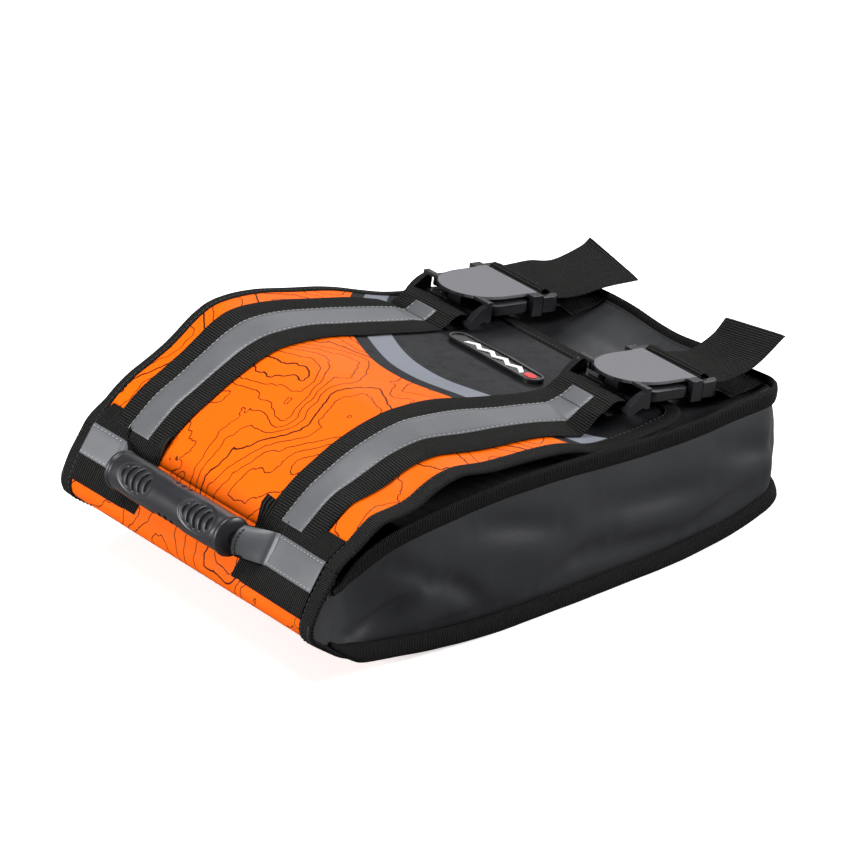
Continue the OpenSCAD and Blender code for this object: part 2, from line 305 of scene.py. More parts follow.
class Graph:
    """A material's node tree; nodes are added by type, with inputs given by name."""

    def __init__(self, name):
        self.material = bpy.data.materials.new(name)
        self.material.use_nodes = True
        self.tree = self.material.node_tree
        self.tree.nodes.clear()
        self.output = self.add("OutputMaterial")
        self.surface = self.add("BsdfPrincipled")
        self.join(self.surface.outputs[0], self.output.inputs[0])
        self.place = self.add("UVMap", uv_map="millimetres").outputs[0]
        self.solid = self.add("TexCoord").outputs["Object"]

    def add(self, kind, inputs=None, **settings):
        node = self.tree.nodes.new("ShaderNode" + kind)
        for key, value in settings.items():
            setattr(node, key, value)
        for key, value in (inputs or {}).items():
            self.feed(node.inputs[key], value)
        return node

    def join(self, source, target):
        self.tree.links.new(source, target)

    def feed(self, socket, value):
        if isinstance(value, bpy.types.NodeSocket):
            self.join(value, socket)
        else:
            socket.default_value = value

    def math(self, operation, a, b=0.0, c=0.0):
        return self.add("Math", {0: a, 1: b, 2: c}, operation=operation).outputs[0]

    def plus(self, a, b):
        return self.math("ADD", a, b)

    def minus(self, a, b):
        return self.math("SUBTRACT", a, b)

    def times(self, a, b):
        return self.math("MULTIPLY", a, b)

    def times_plus(self, a, b, c):
        return self.math("MULTIPLY_ADD", a, b, c)

    def step(self, value, low, high):
        node = self.add("MapRange", {"Value": value, "From Min": low, "From Max": high},
                        interpolation_type="SMOOTHSTEP")
        return node.outputs[0]

    def mix(self, factor, a, b):
        node = self.add("Mix", data_type="RGBA")
        self.feed(node.inputs[0], factor)
        self.feed(node.inputs[6], a)
        self.feed(node.inputs[7], b)
        return node.outputs[2]

    def noise(self, vector, scale, detail=2.0, roughness=0.5, distortion=0.0):
        node = self.add("TexNoise", {"Vector": vector, "Scale": scale, "Detail": detail,
                                     "Roughness": roughness, "Distortion": distortion})
        return node.outputs[0]

    def split(self, vector):
        node = self.add("SeparateXYZ", {0: vector})
        return node.outputs[0], node.outputs[1]

    def wave(self, coordinate, period):
        """0 to 1 and back, once per period."""
        turn = self.times(coordinate, 2 * math.pi / period)
        return self.times_plus(self.math("SINE", turn), 0.5, 0.5)

    def bump(self, height, strength, distance_mm, normal=None):
        inputs = {"Height": height, "Strength": strength, "Distance": distance_mm * MM}
        if normal is not None:
            inputs["Normal"] = normal
        return self.add("Bump", inputs).outputs[0]

    def finish(self, colour, roughness, normal=None, **more):
        self.feed(self.surface.inputs["Base Color"], colour)
        self.feed(self.surface.inputs["Roughness"], roughness)
        if normal is not None:
            self.feed(self.surface.inputs["Normal"], normal)
        for key, value in more.items():
            self.feed(self.surface.inputs[key.replace("_", " ")], value)
        return self.material


def rgb(r, g, b):
    return (r, g, b, 1.0)


def coated_cloth(graph, colour, roughness, grain=0.5, gloss=0.32):
    """PVC-coated fabric: the base weave telegraphs through, with a fine leathery grain."""
    u, v = graph.split(graph.place)
    weave = graph.times(graph.wave(u, 1.1), graph.wave(v, 1.1))
    fine = graph.noise(graph.solid, 1400, 3)
    broad = graph.noise(graph.solid, 55, 3)
    height = graph.times_plus(weave, 0.5, fine)
    normal = graph.bump(height, grain, 0.12)
    normal = graph.bump(broad, 0.25, 1.2, normal)
    scuffs = graph.step(graph.noise(graph.solid, 140, 5, 0.7), 0.45, 0.75)
    rough = graph.times_plus(scuffs, 0.16, roughness)
    return graph.finish(colour, rough, normal, Specular_IOR_Level=gloss)


def black_cloth_material():
    graph = Graph("black_coated_cloth")
    tone = graph.noise(graph.solid, 30, 4)
    colour = graph.mix(tone, rgb(0.027, 0.028, 0.031), rgb(0.038, 0.039, 0.043))
    return coated_cloth(graph, colour, 0.45, 0.4, 0.24)


def lining_material():
    graph = Graph("inner_coating")
    tone = graph.noise(graph.solid, 90, 3)
    return coated_cloth(graph, graph.mix(tone, rgb(0.010, 0.010, 0.011), rgb(0.02, 0.02, 0.021)), 0.7)


CONTOUR_LEVELS = 25.0
LINE_W = 0.33               # half width of a printed contour line
ARC_X, ARC_BEND = -26.0, 52.0 / 110.0 ** 2      # where the orange ends at y = 0, and its curve
GREY_FROM, GREY_TO = 10.0, 28.3                 # the grey arc, from the orange's end


def print_material():
    """Orange print with thin contour lines, closed off by a black arc, a grey arc and black."""
    graph = Graph("orange_print")
    u, v = graph.split(graph.place)

    def height(du, dv):
        point = graph.add("VectorMath", {0: graph.place, 1: (du, dv, 0.0)}, operation="ADD").outputs[0]
        broad = graph.noise(point, 0.0105, 2, 0.35, 0.25)
        crinkle = graph.noise(point, 0.085, 2, 0.5)
        both = graph.times_plus(crinkle, 0.045, broad)
        return graph.times(both, CONTOUR_LEVELS)

    here = height(0, 0)
    du = graph.minus(height(0.5, 0), here)
    dv = graph.minus(height(0, 0.5), here)
    slope = graph.math("SQRT", graph.plus(graph.times(du, du), graph.times(dv, dv)))
    slope = graph.math("MAXIMUM", graph.times(slope, 2.0), 0.02)

    def line(every, width):
        """1 on the lines where the height passes a multiple of every, 0 elsewhere."""
        part = graph.math("FRACT", graph.math("DIVIDE", here, every))
        away = graph.times(graph.math("ABSOLUTE", graph.minus(part, 0.5)), every)
        distance = graph.math("DIVIDE", away, slope)
        return graph.minus(1.0, graph.step(distance, width * 0.6, width * 1.5))

    contour = graph.math("MAXIMUM", graph.times(line(1.0, LINE_W), 0.92), line(5.0, LINE_W * 1.6))
    tone = graph.noise(graph.place, 0.02, 2)
    orange = graph.mix(tone, rgb(0.90, 0.118, 0.0006), rgb(0.95, 0.141, 0.0010))
    orange = graph.mix(contour, orange, rgb(0.035, 0.006, 0.002))
    # past is how far a point lies beyond the orange's curved end
    bend = graph.times(graph.times(v, v), ARC_BEND)
    past = graph.minus(graph.minus(u, ARC_X), bend)
    black = rgb(0.014, 0.0145, 0.0165)
    colour = graph.mix(graph.step(past, -0.3, 0.3), orange, black)
    before = graph.step(past, GREY_TO - 0.3, GREY_TO + 0.3)
    grey = graph.times(graph.step(past, GREY_FROM - 0.3, GREY_FROM + 0.3), graph.minus(1.0, before))
    colour = graph.mix(grey, colour, rgb(0.20, 0.212, 0.245))
    return coated_cloth(graph, colour, 0.46, 0.3, 0.11)


def woven_material(name, dark, light, rib, across, depth):
    """Narrow fabric: ribs across its length, each broken into small picks like a coarse weave. The rib
    crowns get a painted highlight in the light colour, varied by a noise.
    """
    graph = Graph(name)
    u, v = graph.split(graph.place)
    row = graph.math("FLOOR", graph.math("DIVIDE", u, rib))
    shifted = graph.times_plus(row, across / 2, v)
    wobble = graph.times(graph.noise(graph.solid, 300, 2), rib * 0.5)
    ribs = graph.wave(graph.plus(u, wobble), rib)
    picks = graph.wave(shifted, across)
    fuzz = graph.noise(graph.solid, 2600, 2)
    height = graph.times_plus(ribs, 0.8, graph.times(picks, 0.3))
    height = graph.times_plus(fuzz, 0.25, height)
    normal = graph.bump(height, 1.0, depth)
    # Painted highlight: the light colour on the rib crowns stands in for their highlights, a noise
    # varying its strength.
    painted_crown_highlight = graph.times(graph.math("POWER", ribs, 4.0), graph.times_plus(picks, 0.6, 0.4))
    crown_highlight_tone = graph.times_plus(graph.noise(graph.solid, 45, 3), 0.6, 0.7)
    colour = graph.mix(graph.times(painted_crown_highlight, crown_highlight_tone), dark, light)
    return graph.finish(colour, 0.66, normal, Specular_IOR_Level=0.09)


def tape_material():
    """Reflective tape: glass beads in a grey satin film."""
    graph = Graph("reflective_tape")
    beads = graph.add("TexVoronoi", {"Vector": graph.solid, "Scale": 2200.0}).outputs["Distance"]
    blotch = graph.noise(graph.solid, 70, 4)
    colour = graph.mix(blotch, rgb(0.105, 0.109, 0.118), rgb(0.138, 0.142, 0.152))
    normal = graph.bump(beads, 0.18, 0.08)
    normal = graph.bump(graph.noise(graph.solid, 160, 3), 0.2, 0.5, normal)
    return graph.finish(colour, 0.48, normal, Metallic=0.25)


def moulded_material(name, colour, wear, roughness, grain, gloss=0.5):
    """Moulded plastic or rubber with a spark-eroded surface and paler rubbed edges."""
    graph = Graph(name)
    speckle = graph.noise(graph.solid, 1500, 4, 0.6)
    cloud = graph.noise(graph.solid, 60, 3)
    edge = graph.add("NewGeometry").outputs["Pointiness"]
    rubbed = graph.times(graph.step(edge, 0.52, 0.60), 0.55)
    base = graph.mix(graph.times(cloud, 0.5), colour, wear)
    base = graph.mix(rubbed, base, wear)
    normal = graph.bump(speckle, grain, 0.15)
    rough = graph.times_plus(cloud, 0.15, roughness)
    return graph.finish(base, rough, normal, Specular_IOR_Level=gloss)


# The socket's grey plate, from the buckle's centre: its top face, and the half ellipse of its end.
PLATE_TOP, PLATE_X, PLATE_REACH, PLATE_HALF_W = 4.5, -24.0, 27.5, 25.5


def socket_material():
    """Black plastic, with a matte grey D-shaped top plate as far as its curved front."""
    graph = Graph("buckle_socket")
    x, y, z = graph.add("SeparateXYZ", {0: graph.solid}).outputs
    c, n = math.cos(BUCKLE_TILT), math.sin(BUCKLE_TILT)
    dx = graph.minus(x, BUCKLE_X * MM)
    dz = graph.minus(z, BUCKLE_Z * MM)
    along = graph.minus(graph.times(dx, c), graph.times(dz, n))
    up = graph.plus(graph.times(dx, n), graph.times(dz, c))
    across = graph.minus(graph.math("ABSOLUTE", y), STRAP_Y * MM)
    ahead = graph.math("MINIMUM", graph.minus(along, PLATE_X * MM), 0.0)
    ahead = graph.math("DIVIDE", ahead, PLATE_REACH * MM)
    aside = graph.math("DIVIDE", across, PLATE_HALF_W * MM)
    reach = graph.plus(graph.times(ahead, ahead), graph.times(aside, aside))
    on_top = graph.step(up, (PLATE_TOP - 0.2) * MM, (PLATE_TOP + 0.2) * MM)
    on_plate = graph.times(on_top, graph.step(reach, 1.02, 0.98))
    speckle = graph.noise(graph.solid, 1500, 4, 0.6)
    grey = graph.mix(speckle, rgb(0.115, 0.115, 0.128), rgb(0.175, 0.175, 0.193))
    cloud = graph.noise(graph.solid, 60, 3)
    black = graph.mix(cloud, rgb(0.007, 0.007, 0.009), rgb(0.016, 0.016, 0.018))
    colour = graph.mix(on_plate, black, grey)
    rough = graph.times_plus(on_plate, 0.28, 0.26)
    return graph.finish(colour, rough, graph.bump(speckle, 0.4, 0.12), Specular_IOR_Level=0.36)


def thread_material(name, colour):
    graph = Graph(name)
    twist = graph.noise(graph.solid, 3000, 2)
    pale = rgb(*(min(1.0, c * 1.5 + 0.02) for c in colour[:3]))
    return graph.finish(graph.mix(twist, colour, pale), 0.7, graph.bump(twist, 0.5, 0.1))


ORANGE = print_material()
BLACK_CLOTH = black_cloth_material()
LINING = lining_material()
TAPE = tape_material()
SOCKET = socket_material()
BLACK = rgb(0.003, 0.003, 0.003)
# The lighter colour of the webbing and of the binding is a painted highlight on their rib crowns.
WEBBING = woven_material("black_webbing", BLACK, rgb(0.056, 0.056, 0.053), 1.7, 1.4, 0.8)
BINDING = woven_material("ribbed_binding", BLACK, rgb(0.050, 0.050, 0.048), 1.2, 3.1, 0.45)
BLACK_PLASTIC = moulded_material(
    "black_plastic", rgb(0.007, 0.007, 0.009), rgb(0.016, 0.016, 0.018), 0.24, 0.2, 0.36)
GRIP_RUBBER = moulded_material(
    "grip_rubber", rgb(0.012, 0.012, 0.015), rgb(0.032, 0.033, 0.038), 0.30, 0.3)
# Painted shade: the near-black rubber for the grooves in the grip's ovals stands in for the shade inside
# them.
GRIP_GROOVE_SHADE = moulded_material(
    "grip_groove_painted_shade", rgb(0.003, 0.003, 0.004), rgb(0.012, 0.012, 0.013), 0.5, 0.3, 0.2)
BADGE_BLACK = moulded_material(
    "badge_black", rgb(0.006, 0.006, 0.007), rgb(0.03, 0.03, 0.03), 0.22, 0.12)
BADGE_WHITE = moulded_material(
    "badge_white", rgb(0.75, 0.75, 0.74), rgb(0.85, 0.85, 0.84), 0.4, 0.12)
BADGE_RED = moulded_material(
    "badge_red", rgb(0.55, 0.008, 0.01), rgb(0.7, 0.05, 0.04), 0.35, 0.12)
PALE_THREAD = thread_material("pale_thread", rgb(0.28, 0.29, 0.29))
BLACK_THREAD = thread_material("black_thread", rgb(0.018, 0.018, 0.018))

# ---------------------------------------------------------------- the wrap: back, end panel and flap

# Side view of the cloth that runs from the base seam, under the bag, up the end and over the top.
WRAP = through([(HALF_L, 17), (HALF_L - 34, 6.5), (HALF_L - 70, 1.5), (70, 0), (0, 0), (-50, 0.5),
                (-92, 4), (-130, 11), (-155, 19.5), (-171, 30), (-HALF_L, 38), (-HALF_L - 0.5, 46),
                (-174.5, 55), (-164, 70), (FOLD_X, FOLD_Z), (-137, 97), (-122, 104.5),
                (-108, 111), (-93, 116), (-78, 119.5), (-62, RIDGE_H), (-33, 118), (6, 109),
                (45, 101), (80, 95.3), (FLAP_END, 91)], 1400)
WRAP_S = lengths(WRAP)
WRAP_N = sideways(WRAP)
FOLD_S = WRAP_S[np.argmin(np.hypot(WRAP[:, 0] - FOLD_X, WRAP[:, 1] - FOLD_Z))]
FLAP_U = WRAP_S[-1] - FOLD_S    # cloth length from the fold to the flap's end
BACK_U = -FOLD_S                # and to the base seam, the other way
SPLIT_U = -12.0                 # the flap's own mesh starts this far below the fold
SKEW_SHIFT, SKEW_WIDEN = -7.0, 0.025


def taper(x):
    """The pouch is a little narrower at its base than at the handle end."""
    return 1.012 - 0.055 * smoothstep(x, -60, 180)


def skew(x, u=0.0):
    """How much of the skew a place has: the handle end of the limp pouch lies a little to the near
    side and is wider, except for its underside."""
    return (1 - smoothstep(x, -150, -10)) * smoothstep(u, -135, -65)


def edge_offset(x, u, y):
    """How far the cloth stands off its middle line: the flap droops on the near side and lifts on
    the far side, and the end panel swells beside its side seams."""
    near, far = smoothstep(-y, 48, 116), smoothstep(y, 48, 116)
    tilt = 2.2 * np.clip(y / 76, -1, 1) * window(x, -120, -70, -10, 70)
    wave = 3.0 * np.sin((x + 104) / 15.5 + 0.5) * window(x, -140, -110, 20, 60)
    droop = (-10.5 * window(x, -134, -104, 45, 112) + wave) * near
    lift = (6.0 * window(x, -112, -70, -10, 100) + 0.8 * np.sin(x / 13.0)) * far
    swell = 5.0 * (near + far) * window(u, -62, -30, -14, 8)
    sag = -1.6 * (1 - smoothstep(np.abs(y), 10, 50)) * window(x, -120, -70, 0, 60)
    uneven = 0.55 * ripple(u, y, 0.7) * window(u, -60, 0, FLAP_U - 30, FLAP_U)
    on_flap = smoothstep(u, -8, 12)
    return on_flap * (tilt + droop + lift + sag) + swell + uneven


def wrap_point(u, y, lift=0.0):
    """The cloth's outer face at cloth length u from the fold, at y across, raised by lift."""
    u, y = np.broadcast_arrays(np.asarray(u, float), np.asarray(y, float))
    s = u + FOLD_S
    x, z = np.interp(s, WRAP_S, WRAP[:, 0]), np.interp(s, WRAP_S, WRAP[:, 1])
    nx, nz = np.interp(s, WRAP_S, WRAP_N[:, 0]), np.interp(s, WRAP_S, WRAP_N[:, 1])
    off = edge_offset(x, u, y) + lift
    across = y * (taper(x) + SKEW_WIDEN * skew(x, u)) + SKEW_SHIFT * skew(x, u)
    return joined(x + nx * off, across, z + nz * off)


def wrap_normal(u, y):
    du = wrap_point(u + 0.5, y) - wrap_point(u - 0.5, y)
    dy = wrap_point(u, y + 0.5) - wrap_point(u, y - 0.5)
    return unit(np.cross(dy, du)) * -1


def wrap_uv(u, y):
    """Print coordinates: x along the bag for the flap, cloth length below the fold."""
    x = np.interp(u + FOLD_S, WRAP_S, WRAP[:, 0])
    return joined(np.where(u > 0, x, FOLD_X + u), y)


def u_at(x):
    """Cloth length from the fold of a place on the flap."""
    flap = WRAP_S >= FOLD_S
    return float(np.interp(x, WRAP[flap, 0], WRAP_S[flap] - FOLD_S))


def flap_half_width(u, inset=0.0):
    """Half the flap's width, with its two corners rounded off."""
    into = np.clip(np.asarray(u, float) - (FLAP_U - FLAP_R), 0, FLAP_R - inset)
    radius = FLAP_R - inset
    return HALF_W - FLAP_R + np.sqrt(np.maximum(radius ** 2 - into ** 2, 0))


def back_half_width(u):
    into = np.clip(BACK_U + CORNER_R - np.asarray(u, float), 0, CORNER_R)
    return HALF_W - CORNER_R + np.sqrt(np.maximum(CORNER_R ** 2 - into ** 2, 0))


def wrap_sheet(name, u, half_width, columns, material):
    y = np.linspace(-1, 1, columns)[None, :] * half_width[:, None]
    u = np.broadcast_to(u[:, None], y.shape)
    return sheet(name, wrap_point(u, y), wrap_uv(u, y), material)


def easing_to_end(low, high, n):
    """Numbers from low to high that crowd together at the high end, where corners round off."""
    t = np.linspace(0, 1, n)
    bulk = low + (high - 14 - low) * t
    tail = high - 14 * (1 - np.sin(np.linspace(0, math.pi / 2, 14)))
    return np.concatenate([bulk[:-1], tail])


back_u = -easing_to_end(-SPLIT_U, -BACK_U, 120)[::-1]
back_cloth = wrap_sheet("back_cloth", back_u, back_half_width(back_u), 70, ORANGE)
place(back_cloth, "pouch", "back_panel")

flap_u = easing_to_end(SPLIT_U, FLAP_U, 110)
flap_cloth = wrap_sheet("flap_cloth", flap_u, flap_half_width(flap_u, 1.0), 90, ORANGE)


def bend_at_fold(obj, *nodes):
    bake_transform(obj)
    return stand_for(obj, *nodes)


bend_at_fold(flap_cloth, "flap_panel")


def flap_outline(inset):
    """The flap's edge as (cloth length, y), moved inwards, from the near fold round to the far one."""
    u0, y0 = FLAP_U - FLAP_R, HALF_W - FLAP_R
    angle = np.linspace(-math.pi / 2, 0, 14)
    r = FLAP_R - inset
    side = joined(np.linspace(SPLIT_U, u0, 110)[:-1], inset - HALF_W)
    corner = joined(u0 + r * np.cos(angle), -y0 + r * np.sin(angle))
    end = joined(FLAP_U - inset, np.linspace(-y0, 0, 41)[1:])
    return with_mirror(np.concatenate([side, corner, end]))


def end_outline(side):
    """The same edge on the end panel, from low on the seam up to where the flap's mesh starts."""
    u = np.linspace(-104, SPLIT_U, 70)
    return lambda inset: joined(u, side * (HALF_W - inset))


# The binding's section: (distance in from the edge, height over the cloth's outer face).
BINDING_RING = [(BIND_W, 0.1), (BIND_W - 0.5, 0.95), (6.5, 1.15), (3.0, 1.1), (0.8, 0.9), (-0.6, 0.3),
                (-1.1, -0.6), (-0.7, -1.6), (0.5, -2.3), (3.0, -2.5), (6.5, -2.5), (BIND_W, -2.3),
                (BIND_W, -1.3)]


def binding_line(outline, inset):
    """The cloth's edge moved inwards by inset, but by less along the flap's narrow far side."""
    edge, line = outline(0), outline(inset)
    narrow = 0.38 * smoothstep(edge[:, 1], 30, 100) * smoothstep(edge[:, 0], -12, 10)
    return (line + (edge - line) * narrow[:, None]).T


def edge_binding(name, outline, seed):
    """Folded tape round a cloth edge, a little puckered by its stitching."""
    path = wrap_point(*outline(0).T)
    s = lengths(path)
    columns = []
    for inset, lift in BINDING_RING:
        u, y = binding_line(outline, inset)
        pucker = 0.12 * ripple(s * 2.2, 30 * inset, seed) * (1 if lift > 0 else 0.4)
        columns.append(wrap_point(u, y, lift + pucker))
    points = np.stack(columns, 1)
    uv = joined(s[:, None], [inset for inset, _ in BINDING_RING])
    return new_mesh(name, points, tube_faces(*points.shape[:2]), BINDING, uv, closed=True)


def binding_thread(name, outline):
    u, y = binding_line(outline, BIND_W - 1.8)
    return stitches(name, wrap_point(u, y, 1.05), wrap_normal(u, y), BLACK_THREAD)


bend_at_fold(edge_binding("flap_binding_tape", flap_outline, 1.0), "flap_binding")
bend_at_fold(binding_thread("flap_binding_thread", flap_outline))
for side, word in SIDES:
    obj = edge_binding("end_binding_" + word, end_outline(side), 2.0 + side)
    place(obj, "pouch", "top_end_binding")
    place(binding_thread("end_binding_thread_" + word, end_outline(side)), "pouch")

# ---------------------------------------------------------------- the pouch's sides and front

TOP_LINE = through([(-169, 62), (-153, 65), (-132, 75), (-110, 82.5), (-73, 87), (-36, 89.5),
                    (1, 88.5), (40, 86), (78, 83.5), (113, 83), (143, 84.5), (164, 85.5),
                    (HALF_L, 87)], 400)
SIDE_U = -27.0              # where a side gusset's two seams meet on the end panel
JOIN_X = -150.0             # from here on a gusset's columns stand upright
UPRIGHT_FROM = 18           # columns up to there
GUSSET_H = 75.0             # the gusset's height where it is full, the scale of its coordinates
MOUTH_X = -HALF_L + 75


def seam_height(x, y):
    """Height of the front seam: across the base it sags between the straps, which pull it down."""
    sag = 4.5 * np.exp(-((np.asarray(y) + 12) / 36) ** 2) * smoothstep(x, 120, 175)
    pulled = -2.2 * np.exp(-((np.abs(y) - STRAP_Y) / 26) ** 2) * smoothstep(x, 165, 180)
    return np.interp(x, TOP_LINE[:, 0], TOP_LINE[:, 1]) - sag + pulled


def seam_outline():
    """The gusset's seam on the wrap as (cloth length, y), from the near end panel to the far one."""
    floor_part = slice(int(np.argmin(WRAP[:, 0])), None, -1)
    join_u = float(np.interp(JOIN_X, WRAP[floor_part, 0], WRAP_S[floor_part])) - FOLD_S
    corner_u = BACK_U + CORNER_R
    angle = np.linspace(0, math.pi / 2, 12)[1:]
    first = joined(np.linspace(SIDE_U, join_u, UPRIGHT_FROM), -HALF_W)
    side = joined(np.linspace(join_u, corner_u, 120)[1:], -HALF_W)
    corner = joined(corner_u - CORNER_R * np.sin(angle), -HALF_W + CORNER_R * (1 - np.cos(angle)))
    base = joined(BACK_U, np.linspace(-HALF_W + CORNER_R, 0, 40)[1:])
    return with_mirror(np.concatenate([first, side, corner, base]))


def gusset_seams():
    """The gusset's two long edges: its seam on the wrap, and its seam to the front panel above."""
    back = wrap_point(*seam_outline().T)
    front = back.copy()
    for end in (slice(0, UPRIGHT_FROM), slice(-1, -UPRIGHT_FROM - 1, -1)):
        front[end, 0] = np.linspace(back[end][0, 0], JOIN_X, UPRIGHT_FROM)
    front[:, 2] = seam_height(front[:, 0], front[:, 1])
    front[[0, -1]] = back[[0, -1]]
    tuck = (1 - smoothstep(front[:, 0], -158, -108)) * smoothstep(front[:, 0], -170, -160)
    front[:, 1] *= 1 - 0.075 * tuck
    return back, front


def crease(s, k, start, end, depth, width):
    """A soft valley along a segment; s is length along the gusset, k goes from 0 at the back seam
    to 1 at the front."""
    scale = np.array([1, GUSSET_H])
    a = start * scale
    b = end * scale
    p = joined(s, k) * scale
    t = np.clip(((p - a) @ (b - a)) / ((b - a) @ (b - a)), 0, 1)
    away = np.linalg.norm(p - (a + t[..., None] * (b - a)), axis=-1)
    fade = np.sin(math.pi * np.clip(t, 0.06, 0.94)) ** 0.6
    return -depth * fade * np.exp(-(away / width) ** 2)


# Creases as (start, end, depth, width); each place is (length along the gusset, share of its height).
CREASES = [
    ((70, 0.24), (122, 0.52), 4.2, 6), ((96, 0.80), (140, 0.46), 2.6, 6),
    ((116, 0.14), (180, 0.18), 3.6, 6), ((136, 0.54), (166, 0.24), 3.4, 6),
    ((158, 0.82), (222, 0.62), 3.2, 7), ((205, 0.20), (262, 0.42), 4.2, 7),
    ((240, 0.32), (330, 0.22), 4.0, 7), ((250, 0.64), (342, 0.54), 3.2, 8),
    ((318, 0.18), (380, 0.36), 4.2, 7), ((352, 0.74), (402, 0.50), 3.2, 8),
    ((402, 0.32), (450, 0.24), 2.6, 7), ((425, 0.66), (500, 0.52), 2.6, 8),
    ((520, 0.34), (600, 0.44), 3.4, 8), ((610, 0.62), (700, 0.44), 3.2, 8),
    ((640, 0.22), (720, 0.30), 4.0, 7), ((730, 0.68), (800, 0.40), 3.8, 8),
    ((790, 0.26), (880, 0.40), 4.4, 8), ((880, 0.70), (930, 0.40), 4.4, 8),
]

back_seam, front_seam = gusset_seams()
seam_along = tangents(front_seam * (1, 1, 0))
SEAM_OUT = unit(np.cross(seam_along, (0, 0, 1)))
SEAM_OUT = SEAM_OUT * np.sign(SEAM_OUT[60, 1]) * -1


def gusset_points():
    """The gusset as it hangs before it settles: it swells outwards, clear of the binding below it."""
    k = np.linspace(0, 1, 34)[None, :]
    s = lengths(back_seam)[:, None]
    straight = back_seam[:, None] * (1 - k[..., None]) + front_seam[:, None] * k[..., None]
    height = np.linalg.norm(front_seam - back_seam, axis=1)[:, None]
    corner = np.abs(SEAM_OUT[:, 0] * SEAM_OUT[:, 1])[:, None] * 2
    bulge = 8.5 * smoothstep(height, 5, 70) * (1 - 0.75 * corner)
    above = np.clip((k - 0.10) / 0.90, 0, 1)
    at_end = 1 - smoothstep(straight[..., 0], -160, -95)
    edge = np.sin(math.pi * k) ** 0.5 * smoothstep(height, 10, 60)
    off = bulge * np.sin(math.pi * above ** 0.72) ** 0.8 * (1 - at_end) - 1.0 - 3.5 * at_end * edge
    return straight + SEAM_OUT[:, None] * off[..., None], joined(s, GUSSET_H * k)


def gusset_folds(points, uv):
    """Adds the soft creases that a handled bag shows, each with a low ridge beside it."""
    s, k = uv[..., 0], uv[..., 1] / GUSSET_H
    edge = np.clip(np.sin(math.pi * k), 0, 1) ** 0.5
    off = 0.4 * ripple(s, uv[..., 1], 0.3)
    for start, end, depth, width in CREASES:
        off += crease(s, k, start, end, depth, width)
        off -= 0.22 * crease(s, k + 0.16, start, end, depth, width * 1.3)
    return points + SEAM_OUT[:, None] * (off * edge)[..., None]


SETTLE_FRAMES = 22


def settle(points, free_start, slack, cap):
    """Lets a grid of cloth hang between its pinned edges; its first row is left free if free_start.
    It runs a short simulation with a little slack in the cloth, then moves each point to where it
    came to rest, no further than cap."""
    pinned = np.ones(points.shape[:2], bool)
    pinned[0 if free_start else 1:-1, 1:-1] = False
    obj = new_mesh("settling", points, grid_faces(*pinned.shape), BLACK_CLOTH)
    group = obj.vertex_groups.new(name="seams")
    group.add([int(k) for k in np.flatnonzero(pinned.ravel())], 1.0, "REPLACE")
    cloth = obj.modifiers.new("cloth", "CLOTH")
    cloth.settings.quality = 6
    cloth.settings.mass = 0.15
    cloth.settings.tension_stiffness = cloth.settings.compression_stiffness = 30
    cloth.settings.shear_stiffness = 10
    cloth.settings.bending_stiffness = 0.8
    cloth.settings.air_damping = 4
    cloth.settings.vertex_group_mass = "seams"
    cloth.settings.pin_stiffness = 1.0
    cloth.settings.shrink_min = -slack
    cloth.settings.effector_weights.gravity = 0.3
    cloth.collision_settings.use_collision = False
    cloth.point_cache.frame_start, cloth.point_cache.frame_end = 1, SETTLE_FRAMES
    for step in range(1, SETTLE_FRAMES + 1):
        bpy.context.scene.frame_set(step)
    rested = obj.evaluated_get(bpy.context.evaluated_depsgraph_get()).to_mesh()
    moved = np.zeros(len(rested.vertices) * 3)
    rested.vertices.foreach_get("co", moved)
    bpy.data.objects.remove(obj)
    bpy.context.scene.frame_set(1)
    shift = moved.reshape(points.shape) / MM - points
    size = np.linalg.norm(shift, axis=-1, keepdims=True)
    return points + shift * np.minimum(1, cap / np.maximum(size, 1e-6))


gusset, gusset_uv = gusset_points()
gusset = gusset_folds(settle(gusset, False, 0.02, 5.0), gusset_uv)
gusset_cloth = sheet("gusset_cloth", gusset, gusset_uv, BLACK_CLOTH)
place(gusset_cloth, "pouch", "side_gusset_near", "side_gusset_far", "base_gusset")

BASE_SEAM = len(front_seam) // 2


def seam_across(x, far):
    """Where the front seam lies across the bag, on the near or the far side."""
    half = front_seam[BASE_SEAM:][::-1] if far else front_seam[:BASE_SEAM + 1]
    until = int(np.argmax(half[:, 0] > HALF_L - 0.4)) + 1
    return np.interp(x, half[:until, 0], half[:until, 1])


def front_height(x, y):
    """The front panel sags between its seams, and dips inside the stiff seam at the base."""
    low, high = seam_across(x, False), seam_across(x, True)
    out = np.abs(2 * (y - low) / (high - low) - 1)
    sag = 5.0 * (1 - smoothstep(out, 0.35, 1.0)) * window(x, -200, -100, 110, 150)
    at_base = smoothstep(x, 118, 140) * smoothstep(HALF_L - x, 1, 10)
    dip = 2.2 * (1 - smoothstep(out, 0.72, 0.99)) * at_base
    return seam_height(x, y) - sag - dip - 0.6 + 0.35 * ripple(x, y, 1.9)


front_x = easing_to_end(MOUTH_X, HALF_L - 0.6, 90)
near_y, far_y = seam_across(front_x, False) + 0.3, seam_across(front_x, True) - 0.3
front_y = near_y[:, None] + np.linspace(0, 1, 70)[None, :] * (far_y - near_y)[:, None]
front_x = np.broadcast_to(front_x[:, None], front_y.shape)
front_points = joined(front_x, front_y, front_height(front_x, front_y))
front_points = settle(front_points, True, 0.006, 4.0)
front_cloth = sheet("front_cloth", front_points, joined(front_x, front_y), BLACK_CLOTH)
place(front_cloth, "pouch", "front_panel")


